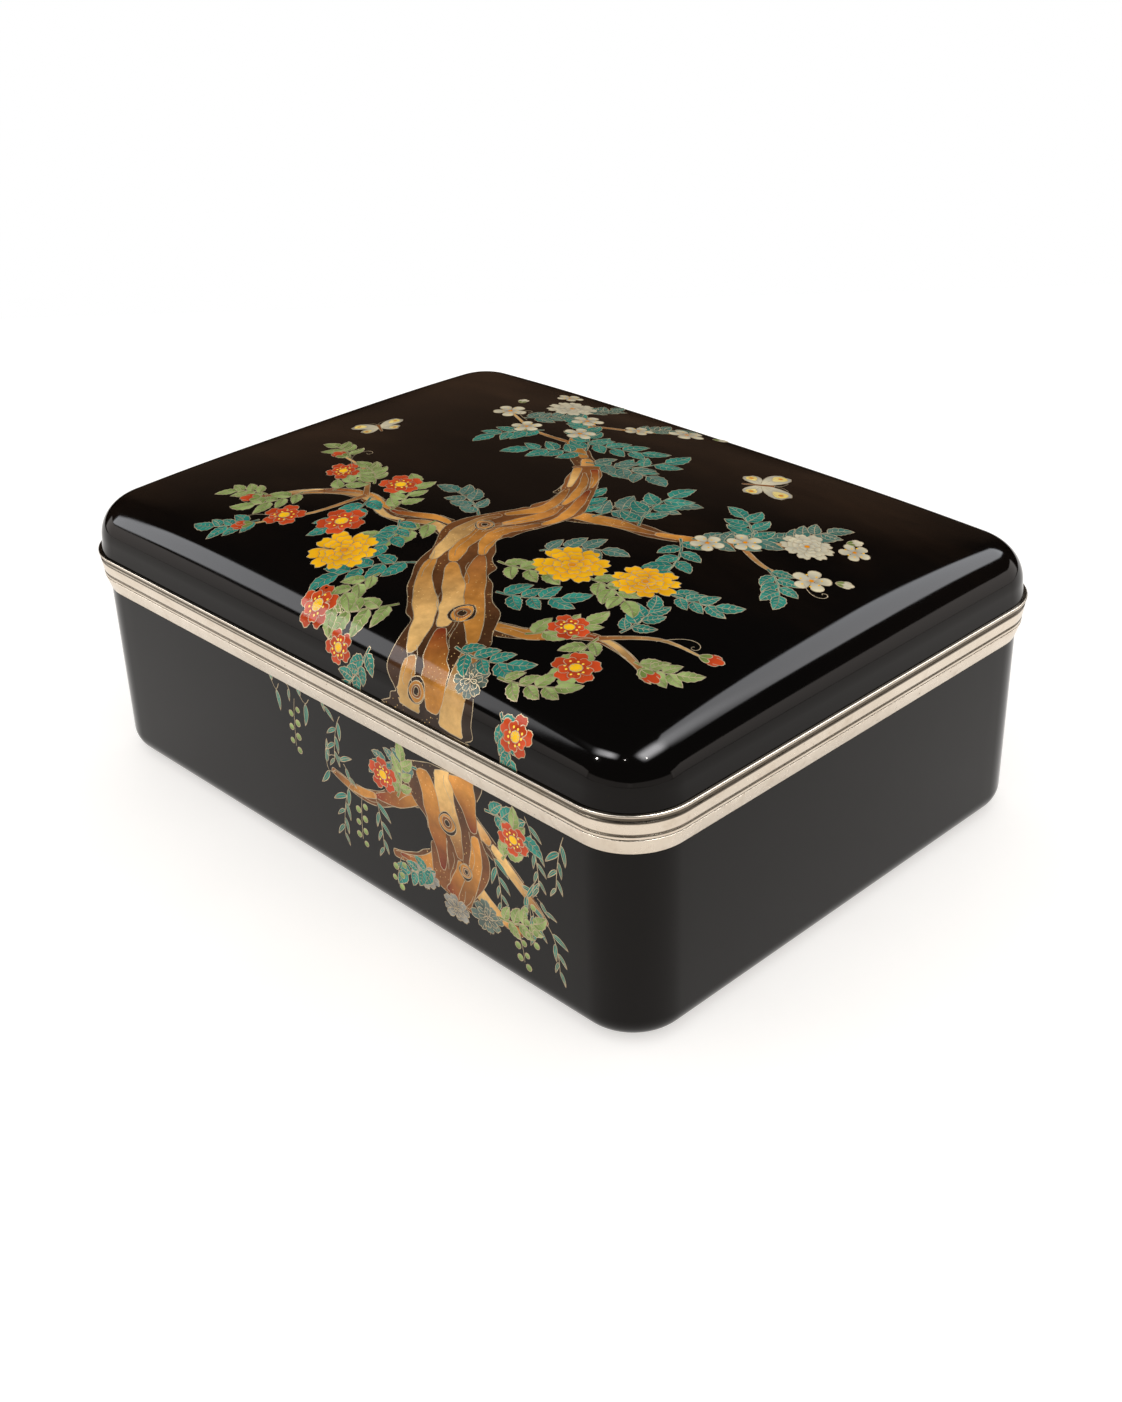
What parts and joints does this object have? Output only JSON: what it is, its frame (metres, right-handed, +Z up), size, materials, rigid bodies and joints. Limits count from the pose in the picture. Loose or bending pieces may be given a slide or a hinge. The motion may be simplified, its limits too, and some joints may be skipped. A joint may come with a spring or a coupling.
{
  "type": "cloisonne box",
  "caption": "Rounded rectangular table box of black cloisonne enamel on copper with a domed lift-off lid, moulded silver rims and an inner locating flange.",
  "frame": {"origin": "middle of the flat underside, at table level", "axes": "+X along the long side, -Y is the decorated front side, +Z up and the way the lid lifts off"},
  "size_m": [0.21, 0.154, 0.0834],
  "materials": {
    "black_enamel": "polished, deep gloss",
    "lining_enamel": "glossy, fire-polished",
    "copper": "bare hammered sheet, hidden between the enamels",
    "silver": "softly polished, lightly tarnished"
  },
  "bodies": {
    "base": {"base_enamel": "black_enamel", "base_copper_body": "copper", "base_lining": "lining_enamel", "base_rim": "silver", "base_flange": "silver"},
    "lid": {"lid_enamel": "black_enamel", "lid_copper_body": "copper", "lid_lining": "lining_enamel", "lid_rim": "silver"}
  },
  "joints": [
    {"name": "lid_lift", "type": "slide", "parent": "base", "child": "lid", "axis": [0, 0, 1], "range_m": [0, 0.1]}
  ]
}
